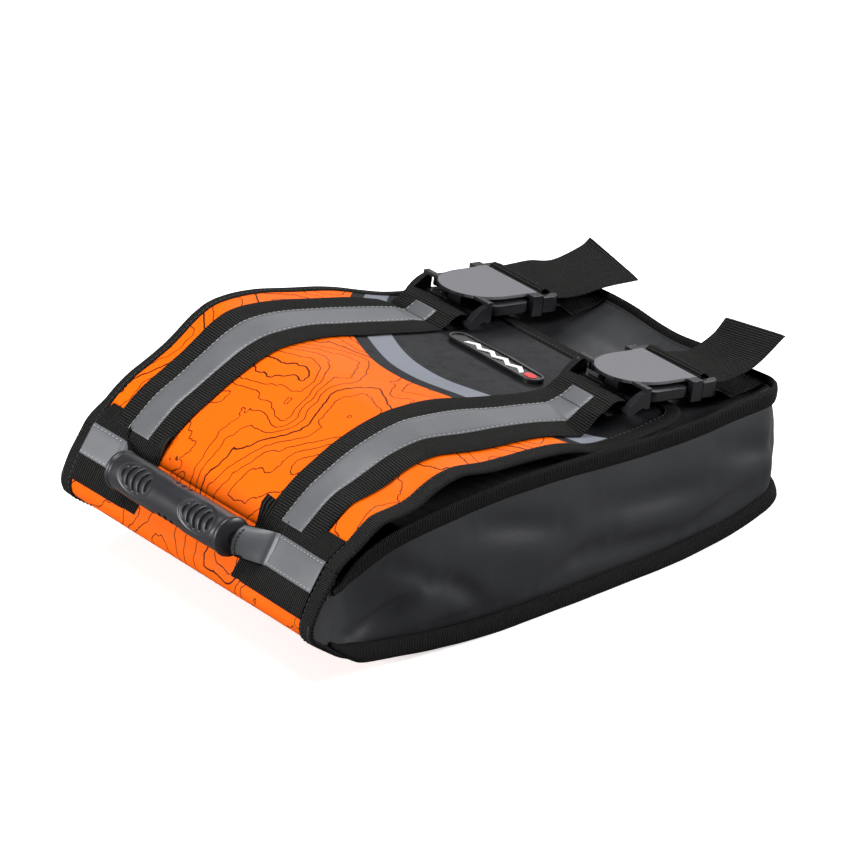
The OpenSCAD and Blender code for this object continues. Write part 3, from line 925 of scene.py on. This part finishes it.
def seam_binding(name, path, out, up, width, thick, pucker, seed):
    """Binding folded over a seam: it stands a little off the gusset, puckered along its length."""
    s = lengths(path)
    a = np.linspace(-0.5, 0.5, 9)
    wave = pucker[:, None] * ripple(s[:, None] * 1.6, 25 * a[None, :], seed)
    ends = 0.25 + 0.75 * smoothstep(np.minimum(s, s[-1] - s), 0, 26)
    rows = path[:, None] + up[:, None] * (a[None, :] * width * ends[:, None])[..., None]
    rows = rows + out[:, None] * wave[..., None]
    lean = out[:, None] * (0.9 * (a[None, :] * 2) ** 2)[..., None]
    return band(name, rows - lean, thick, BINDING)


def beyond(seam, x):
    """The part of a seam that lies further along the bag than x, on both sides."""
    inside = np.flatnonzero(seam[:, 0] > x)
    return slice(inside[0], inside[-1] + 1)


TOP = beyond(front_seam, -163)      # both bindings start tucked in behind the end panel's
gather = 0.35 + window(front_seam[:, 1], 60, 95, 150, 160) * smoothstep(front_seam[:, 0], 90, 160)
top_path = front_seam + SEAM_OUT * 1.6 + (0, 0, -1.6)
top_up = unit(np.array([0, 0, 1.0]) + 0.12 * SEAM_OUT)
top_tape = seam_binding("front_seam_tape", top_path[TOP], SEAM_OUT[TOP], top_up[TOP], width=11.5,
                        thick=3.2, pucker=gather[TOP], seed=0.4)
place(top_tape, "pouch", "front_seam_binding")

BOTTOM = beyond(back_seam, -170)
seam_in = unit(np.cross(SEAM_OUT, tangents(back_seam)))
seam_in = seam_in * np.sign(seam_in[60, 2])
free = smoothstep(back_seam[:, 0], -172, -140)[:, None]
low_path = back_seam + SEAM_OUT * (2.6 * free - 1.0 * (1 - free)) + seam_in * 4.0
low_up = unit(seam_in - 0.30 * SEAM_OUT)
low_tape = seam_binding("back_seam_tape", low_path[BOTTOM], SEAM_OUT[BOTTOM], low_up[BOTTOM], width=10.5,
                        thick=3.0, pucker=np.full(len(low_path), 0.3)[BOTTOM], seed=1.4)
place(low_tape, "pouch", "back_seam_binding")

# ---------------------------------------------------------------- straps over the flap

# Side view of a strap where it leaves the flap and turns back round the socket's rear bar.
HUMP = [(50, 101.6), (57, 104.5), (62, 107.0), (67, 107.2), (71.4, 105), (73.2, 101.6), (71.5, 98.8),
        (66, 98.6), (56, 100.4)]
TAPE_HUMP = [(50, 101.6), (55, 103.5), (59.5, 105.8)]
STRAP_U = u_at(40)
SEWN_X = 50             # where the tape's end is sewn down across the strap


def on_cloth(u, y, lift):
    """Like wrap_point, but y is the real place across, whatever the taper and skew."""
    x = np.interp(u + FOLD_S, WRAP_S, WRAP[:, 0])
    return wrap_point(u, (y - SKEW_SHIFT * skew(x)) / (taper(x) + SKEW_WIDEN * skew(x)), lift)


def strap_rows(side, hump, lift, width, columns=13):
    """Rows of a flap strap: flat on the cloth up to STRAP_U, then along the hump's line."""
    hump = through(hump, 60)
    hump = hump + sideways(hump) * (lift - WEB_T / 2 - 0.2)
    u = np.linspace(-2.5, STRAP_U, 120)
    lines = []
    for y in side * STRAP_Y + np.linspace(-0.5, 0.5, columns) * width:
        flat = on_cloth(u, y - 3.0 * (1 - smoothstep(u, 0, 90)), lift)
        over = joined(hump[:, 0], y, hump[:, 1])
        joint = through([flat[-3], flat[-1], over[0], over[2]], 30)
        lines.append(resample(np.concatenate([flat[:-3], joint, over[3:]]), 230))
    return np.stack(lines, 1)


for side, word in SIDES:
    strap = band("strap_" + word, strap_rows(side, HUMP, WEB_T / 2 + 0.2, WEB_W), WEB_T, WEBBING)
    bend_at_fold(strap, "flap_strap_" + word)
    rows = strap_rows(side, TAPE_HUMP, WEB_T + TAPE_T / 2 + 0.15, TAPE_W, 7)
    bend_at_fold(band("tape_on_strap_" + word, rows, TAPE_T, TAPE), "strap_tape_" + word)
    normal = face_normals(rows)
    for column, edge in ((0, "outer"), (-1, "inner")):
        inset = rows[:, column] * 0.93 + rows[:, 3] * 0.07
        up = normal[:, column]
        name = f"tape_thread_{edge}_{word}"
        bend_at_fold(stitches(name, inset + up * TAPE_T / 2, up, PALE_THREAD, 3.6, 2.4, 0.3))
    sewn = int(np.argmin(np.abs(rows[:, 3, 0] - SEWN_X)))
    line = resample(rows[sewn - 1][[0, -1]], 30) + normal[sewn, 0] * TAPE_T / 2
    up = np.repeat(normal[sewn][:1], 30, 0)
    place(stitches("strap_end_thread_" + word, line, up, BLACK_THREAD, 2.6, 2.2, 0.42), "flap")

# ---------------------------------------------------------------- straps at the base

# Side view of the tails from the plug's bar to their ends: (middle edge, outer edge).
TAIL_EDGES = {
    "near": ([(133.6, 105), (137, 101), (147, 97.5), (162, 94.7), (179, 99.5), (190, 108)],
             [(133.6, 104.5), (137, 100.2), (143, 97.6), (151, 96.7), (171, 100), (194, 113)]),
    "far": ([(133.6, 105), (137, 100), (146, 96.5), (160, 94.5), (180, 94.5), (205, 92)],
            [(133.6, 105), (137, 102.5), (146, 101.5), (159, 100), (177, 95.5), (199, 98.5),
             (207, 102.5)]),
}
TAIL_START = [(130, 94.9), (127.0, 97.0), (126.4, 101.5), (127.8, 105.3), (130.6, 106.6)]   # round it
ANCHOR_START = [(132.5, 95.0), (137, 93.2), (144, 91.2)]


def tail_rows(word, side):
    inner, outer = (through(TAIL_START + edge, 120) for edge in TAIL_EDGES[word])
    low, high = (inner, outer) if side == FAR else (outer, inner)      # in the order of y
    lines = []
    for k in np.linspace(0, 1, 13):
        line = low * (1 - k) + high * k
        lines.append(joined(line[:, 0], side * STRAP_Y + (k - 0.5) * WEB_W, line[:, 1]))
    return np.stack(lines, 1)


def anchor_rows(side):
    """Rows of the strap that holds a plug: from its bar down to the front panel and the base seam."""
    x = np.linspace(152, HALF_L - 1.0, 20)
    lines = []
    for y in side * STRAP_Y + np.linspace(-0.5, 0.5, 13) * WEB_W:
        flat = joined(x, front_height(x, y) + WEB_T / 2 + 0.7)
        end = (HALF_L + 0.5, flat[-1, 1] - 1.0)
        line = through(ANCHOR_START + [tuple(point) for point in flat[::3]] + [end], 60)
        lines.append(joined(line[:, 0], y, line[:, 1]))
    return np.stack(lines, 1)


for side, word in SIDES:
    tail = band("tail_" + word, tail_rows(word, side), WEB_T, WEBBING)
    place(tail, word + "_plug", "tail_strap_" + word)
    anchor = band("anchor_" + word, anchor_rows(side), WEB_T, WEBBING)
    place(anchor, "pouch", "anchor_strap_" + word)
    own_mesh(anchor)

# ---------------------------------------------------------------- handle

GRIP_X, GRIP_Z = (GRIP_LOW[0] + GRIP_HIGH[0]) / 2, (GRIP_LOW[2] + GRIP_HIGH[2]) / 2
GRIP_HALF = (GRIP_HIGH[1] - GRIP_LOW[1]) / 2
GRIP_R = (GRIP_HIGH[2] - GRIP_LOW[2]) / 2
PANEL_UP = np.array([0.5295, 0.0, 0.8484])      # up the end panel
PANEL_OUT = np.array([-0.8484, 0.0, 0.5295])    # and away from it
PATCH_U = -19.5                                 # cloth length at the middle of the patches
GRIP_OVALS = [(-33, 8), (28, 8), (-3, 108), (-3, -92), (-33, 188), (28, 188)]    # (y, degrees)
# The grip's radius, as a share of GRIP_R, against the distance from its end.
GRIP_PROFILE = [(0, 0.36), (0.15, 0.76), (0.8, 0.88), (1.6, 0.97), (2.6, 1.0), (3.8, 0.98),
                (4.6, 0.93), (5.4, 0.92), (8, 0.945), (20, 0.97), (60, 0.98)]


def grip_radius(y, turn):
    """Radius of the moulded grip, and how far a place is into a groove of its recessed ovals, which gets
    a painted shade.
    """
    depth = np.array(GRIP_PROFILE)
    radius = GRIP_R * np.interp(GRIP_HALF - np.abs(y), depth[:, 0], depth[:, 1])
    inside = np.zeros(np.broadcast(y, turn).shape)
    for y0, turn0 in GRIP_OVALS:
        around = (turn - turn0 + 180) % 360 - 180
        dy = y - y0
        reach = np.sqrt((dy / 17) ** 2 + (around / 52) ** 2)
        within = 1 - smoothstep(reach, 0.93, 1.0)
        bent = dy - 4.0 * np.cos(np.radians(around * 1.4)) + 3.0
        groove = np.exp(-((bent - 6 * np.round(bent / 6)) / 1.25) ** 4)
        groove *= 1 - smoothstep(reach, 0.74, 0.84)
        radius = radius - within * (0.6 + 1.5 * groove)
        inside = np.maximum(inside, groove)
    return radius, inside


def build_grip():
    inner = np.linspace(-GRIP_HALF + 6, GRIP_HALF - 6, 230)
    end = np.array([0, 0.15, 0.5, 0.8, 1.2, 1.6, 2.1, 2.6, 3.2, 3.8, 4.2, 4.6, 5.0, 5.4])
    y = np.concatenate([-GRIP_HALF + end, inner, (GRIP_HALF - end)[::-1]])[:, None]
    turn = np.linspace(0, 360, 200, endpoint=False)[None, :]
    radius, inside = grip_radius(y, turn)
    angle = np.radians(turn)[..., None]
    ray = np.cos(angle) * PANEL_OUT + np.sin(angle) * PANEL_UP
    points = joined(GRIP_X, y, GRIP_Z) + ray * radius[..., None]
    obj = new_mesh("grip", points, tube_faces(*radius.shape), GRIP_RUBBER, closed=True)
    obj.data.materials.append(GRIP_GROOVE_SHADE)
    # The groove faces get the near-black material, a painted shade.
    recessed = (inside[:-1] > 0.5).ravel()
    obj.data.polygons.foreach_set("material_index", [int(flag) for flag in recessed] + [1, 1])
    return obj


place(build_grip(), "handle", "handle_grip")


def patch_rows(side, lift, width, middle, low, columns=11, curls=(0.0, 0.0), pressed=0.0):
    """Rows of webbing lying flat on the end panel, from y = low outwards on one side. The two
    corners of its inner end may curl up, and its lower half may be pressed flatter where the
    grip swings down over it."""
    v = middle + np.linspace(-0.5, 0.5, columns) * width
    y = np.linspace(low, PATCH_FAR_Y, 40)
    corner = smoothstep(np.abs(v - middle), width * 0.22, width * 0.4)[None, :]
    curl = np.where(v < middle, curls[0], curls[1])[None, :]
    up = curl * corner * (1 - smoothstep(y, low, low + 9))[:, None] ** 2
    across = side * y[:, None]
    reached = 1 - smoothstep(np.abs(wrap_point(v[None, :], across)[..., 1]), GRIP_HALF, GRIP_HALF + 6)
    reached = reached * (1 - smoothstep(v, middle - 2, middle + 9))[None, :]
    return wrap_point(v[None, :], across, lift + up - pressed * reached)


STRIPE_U = PATCH_U + 0.5
STRIPE_W = TAPE_W + 2.0
BORDER = (WEB_W - STRIPE_W) / 2
FOLDED_Y = 60.0                                 # inside here the strap is folded, under the grip
FLAT_Y = {"near": 66.0, "far": 84.0}            # where the handle strap leaves the patch
PATCH_END = {"near": 42.0, "far": 52.0}         # a patch's inner end
PATCH_FAR_Y = HALF_W - 9                        # and its outer end
PATCH_CURLS = {"near": (0.6, 5.0), "far": (0.0, 3.0)}   # how far its low and high corners curl up
SEWN_ROW = 40                                   # the row of handle_rows that is sewn across


def handle_section(t, wide, columns):
    """Across the handle strap at t (0 flat on the patch, 1 at the grip): (up the panel, away from it)."""
    fold = math.radians(172) * smoothstep(t, -0.25, 0.4)
    v = np.linspace(-0.5, 0.5, columns) * wide
    core = np.clip(v, -STRIPE_W / 2, STRIPE_W / 2)
    over = v - core
    squeeze = 1 - 0.12 * smoothstep(t, 0.2, 1)
    bend = np.abs(over) / max(BORDER, 1e-6)
    angle = fold * np.minimum(1, bend * 4 + 0.2)
    up = core * squeeze + over * np.cos(angle)
    round_off = 5.0 * (core / (STRIPE_W / 2)) ** 2 * smoothstep(t, 0.15, 0.6)
    tuck = 1.8 * smoothstep(bend, 0, 0.4) * smoothstep(t, 0.3, 0.8)
    return up, -np.abs(over) * np.sin(angle) - tuck - round_off


def handle_rows(side, flat_y, wide, lift, columns=17):
    """Rows of the handle strap, from flat on its patch to folded round the grip's core."""
    rows = []
    for value in np.linspace(0, 1, 60):
        y = side * (flat_y + (FOLDED_Y - 6 - flat_y) * value)
        up, out = handle_section(value, wide, columns)
        base = wrap_point(np.array([STRIPE_U]), np.array([y]), 0)[0]
        grip = np.array([GRIP_X, y, GRIP_Z])
        rise = smoothstep(value, 0.0, 0.85)
        middle = base * (1 - rise) + grip * rise
        shift = 1.15 * (1 - rise) - 0.8 * np.exp(-((value - 0.16) / 0.05) ** 2)
        touching = WEB_T / 2 + 0.1 - (middle - base) @ PANEL_OUT     # no lower than the panel's face
        off = np.maximum(out + shift, touching) + lift
        rows.append(middle + up[:, None] * PANEL_UP + off[:, None] * PANEL_OUT)
    return np.stack(rows)


for side, word in SIDES:
    end, curls, flat_y = PATCH_END[word], PATCH_CURLS[word], FLAT_Y[word]
    patch = patch_rows(side, WEB_T / 2 + 0.2, WEB_W, PATCH_U, end, curls=curls, pressed=1.45)
    bend_at_fold(band("patch_" + word, patch, WEB_T, WEBBING), "handle_patch_" + word)
    tape = patch_rows(side, WEB_T + 0.5, TAPE_W, STRIPE_U, flat_y - 0.5, 7)
    bend_at_fold(band("patch_tape_" + word, tape, TAPE_T, TAPE), "handle_patch_tape")
    tape_rows = patch_rows(side, WEB_T + 0.5 + TAPE_T / 2, TAPE_W, STRIPE_U, flat_y - 0.5, 15)
    for column, edge in ((1, "low"), (-2, "high")):
        line = tape_rows[:, column]
        up = np.repeat(PANEL_OUT[None], len(line), 0)
        bend_at_fold(stitches(f"patch_thread_{edge}_{word}", line, up, PALE_THREAD, 3.6, 2.4, 0.3))
    web = band("handle_strap_" + word, handle_rows(side, flat_y, WEB_W, 0.0), WEB_T, WEBBING)
    web_tape = handle_rows(side, flat_y, TAPE_W, WEB_T / 2 + 0.3, 7)
    web_tape = band("handle_tape_" + word, web_tape, TAPE_T, TAPE)
    line = resample(handle_rows(side, flat_y, TAPE_W, WEB_T / 2 + 0.55, 9)[SEWN_ROW], 30)
    up = np.repeat(PANEL_OUT[None], 30, 0)
    seam = stitches("handle_thread_" + word, line, up, BLACK_THREAD, 2.6, 2.3, 0.5)
    for obj in (web, web_tape, seam):
        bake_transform(obj)
    stand_for(web, "handle_webbing")

# ---------------------------------------------------------------- badge

BADGE_X, BADGE_L, BADGE_W, BADGE_H = 53.0, 84.0, 14.0, 3.0


def capsule_outline(length, width, n=16):
    """A long shape with round ends, lengthways along y."""
    r = width / 2
    angle = np.linspace(0, math.pi, n)
    top = [(r * math.cos(a), length / 2 - r + r * math.sin(a)) for a in angle]
    return top + [(-x, -y) for x, y in top]


def on_badge(points):
    """From the badge's own coordinates to its place on the flap."""
    return on_cloth(u_at(BADGE_X) + points[:, 0], points[:, 1], points[:, 2] + 0.1)


def zigzag_outline(length, reach, width, turns):
    ys = np.linspace(-length / 2, length / 2, turns)
    xs = np.where(np.arange(turns) % 2, reach, -reach)
    left = [(x - width / 2, y) for x, y in zip(xs, ys)]
    right = [(x + width / 2, y) for x, y in zip(xs, ys)]
    return left + right[::-1]


def grown(outline, by):
    """A capsule outline moved outwards by the same distance everywhere."""
    p = np.array(outline)
    t = unit(np.roll(p, -1, 0) - np.roll(p, 1, 0))
    return [tuple(q) for q in p + joined(t[:, 1], -t[:, 0]) * by]


def badge_solid(name, rings, material, bevel, hollow=False):
    """A moulded solid between rings of (outline, height); a hollow one closes on its first ring."""
    points = [(x, y, z) for outline, z in rings for x, y in outline]
    n = len(rings[0][0])
    if hollow:
        faces = grid_faces(len(rings) + 1, n, closed=True)
        faces = [tuple(k % len(points) for k in face) for face in faces]
    else:
        faces = tube_faces(len(rings), n)
    obj = new_mesh(name, on_badge(np.array(points)), faces, material, closed=True)
    add_bevel(obj, bevel)
    return obj


def dense(outline, step=3.0):
    """The same outline with points close enough together to follow the cloth's curve."""
    p = np.array(outline + outline[:1])
    count = max(int(lengths(p)[-1] / step), len(outline))
    marks = np.unique(np.concatenate([np.linspace(0, lengths(p)[-1], count), lengths(p)]))[:-1]
    return [tuple(q) for q in at_length(p, marks)]


plate = dense(capsule_outline(BADGE_L, BADGE_W))
inner = grown(plate, -1.5)
mark = dense(zigzag_outline(BADGE_L - 30, 2.0, 3.6, 9))
accent = [(x, y - BADGE_L / 2 + 9) for x, y in capsule_outline(9.0, 6.0, 8)]
rim_rings = [(plate, 0.0), (plate, BADGE_H), (inner, BADGE_H), (inner, 0.0)]
plate_rings = [(plate, 0.0), (plate, BADGE_H - 0.9)]
mark_rings = [(mark, BADGE_H - 1.0), (mark, BADGE_H - 0.35)]
accent_rings = [(accent, BADGE_H - 1.0), (accent, BADGE_H - 0.3)]
place(badge_solid("badge_plate", plate_rings, BADGE_BLACK, 0.3), "flap", "badge")
place(badge_solid("badge_rim", rim_rings, BADGE_BLACK, 0.45, hollow=True), "flap")
place(badge_solid("badge_mark", mark_rings, BADGE_WHITE, 0.2), "flap")
place(badge_solid("badge_accent", accent_rings, BADGE_RED, 0.2), "flap")

# ---------------------------------------------------------------- moulded parts that come from the CAD

# Start of a node's name, its material and the width of its soft edges.
MOULDED = (("buckle_socket", SOCKET, 0.9), ("buckle_plug", BLACK_PLASTIC, 1.2),
           ("latch_arm", BLACK_PLASTIC, 0.8))


def finish_moulded(node, material, bevel):
    """Keeps a CAD node's shape: soft moulded edges and a moulded surface."""
    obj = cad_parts[node]
    for slot in obj.material_slots:
        slot.material = material
    weld = obj.modifiers.new("weld", "WELD")
    weld.merge_threshold = 0.00001
    flat = obj.modifiers.new("flat faces", "DECIMATE")
    flat.decimate_type = "DISSOLVE"
    flat.angle_limit = math.radians(1)
    add_bevel(obj, bevel)


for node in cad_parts:
    for start, material, bevel in MOULDED:
        if node.startswith(start):
            finish_moulded(node, material, bevel)

# ---------------------------------------------------------------- floor, lights and camera


def floor_material():
    """A pale floor that the camera sees brighter than the light it throws back on the object."""
    graph = Graph("pale_floor")
    tone = graph.noise(graph.solid, 3, 3)
    seen = graph.add("LightPath").outputs["Is Camera Ray"]
    glow = graph.times(seen, FLOOR_GLOW)
    pale = graph.mix(tone, rgb(0.90, 0.90, 0.90), rgb(0.93, 0.93, 0.93))
    return graph.finish(graph.mix(seen, rgb(0.22, 0.22, 0.22), pale), 0.9,
                        Emission_Color=rgb(1, 1, 1), Emission_Strength=glow)


OBJECT_MIDDLE = (0, 0, 60)


def area_light(name, place_mm, size_mm, power):
    data = bpy.data.lights.new(name, "AREA")
    data.shape = "RECTANGLE"
    data.size, data.size_y = size_mm[0] * MM, size_mm[1] * MM
    data.energy = power
    obj = add_object(name, data)
    obj.location = Vector(place_mm) * MM
    aim = Vector(OBJECT_MIDDLE) - Vector(place_mm)
    obj.rotation_euler = aim.to_track_quat("-Z", "Y").to_euler()


def studio_world(strength):
    """White to the camera, and a weaker white for the light that falls on the object."""
    world = bpy.data.worlds.new("studio")
    world.use_nodes = True
    tree = world.node_tree
    ray = tree.nodes.new("ShaderNodeLightPath")
    level = tree.nodes.new("ShaderNodeMapRange")
    level.inputs["To Min"].default_value = strength
    level.inputs["To Max"].default_value = 1.0
    tree.links.new(ray.outputs["Is Camera Ray"], level.inputs["Value"])
    background = tree.nodes["Background"]
    background.inputs["Color"].default_value = (1, 1, 1, 1)
    tree.links.new(level.outputs[0], background.inputs["Strength"])
    bpy.context.scene.world = world


FLOOR_GLOW = 0.6
FLOOR_REACH = 9000
FLOOR_Z = cad_box[0][2] / MM - 2.0
corners = [(x * FLOOR_REACH, y * FLOOR_REACH, FLOOR_Z) for x, y in ((-1, -1), (1, -1), (1, 1), (-1, 1))]
new_mesh("floor", corners, [(0, 1, 2, 3)], floor_material())
studio_world(0.12)
area_light("key", (-350, 150, 1500), (900, 700), 19)
area_light("handle_side", (-1500, 420, 480), (800, 600), 24)
area_light("fill", (1250, -1050, 850), (600, 500), 29)
area_light("rim", (1100, 900, 900), (900, 700), 5)

AZIMUTH, ELEVATION = math.radians(-37.48), math.radians(26.69)
FOCAL_PIXELS, FRAME_PIXELS, SENSOR = 6183.0, 850.0, 36.0
DISTANCE, LOOK_RIGHT, LOOK_UP = 3713.5, -0.39, 96.3     # mm, and where it points, in pixels
forward = Vector((-math.sin(AZIMUTH) * math.cos(ELEVATION), math.cos(AZIMUTH) * math.cos(ELEVATION),
                  -math.sin(ELEVATION)))
right = Vector((math.cos(AZIMUTH), math.sin(AZIMUTH), 0))
above = right.cross(forward)
camera_data = bpy.data.cameras.new("camera")
camera_data.sensor_width = SENSOR
camera_data.lens = FOCAL_PIXELS / FRAME_PIXELS * SENSOR
camera_data.clip_end = 50
camera = add_object("camera", camera_data)
camera.location = (Vector((0, 0, 8)) - forward * DISTANCE) * MM
look = forward + right * (LOOK_RIGHT / FOCAL_PIXELS) + above * (LOOK_UP / FOCAL_PIXELS)
camera.rotation_euler = look.to_track_quat("-Z", "Y").to_euler()
bpy.context.scene.camera = camera
bpy.context.scene.view_settings.view_transform = "Standard"
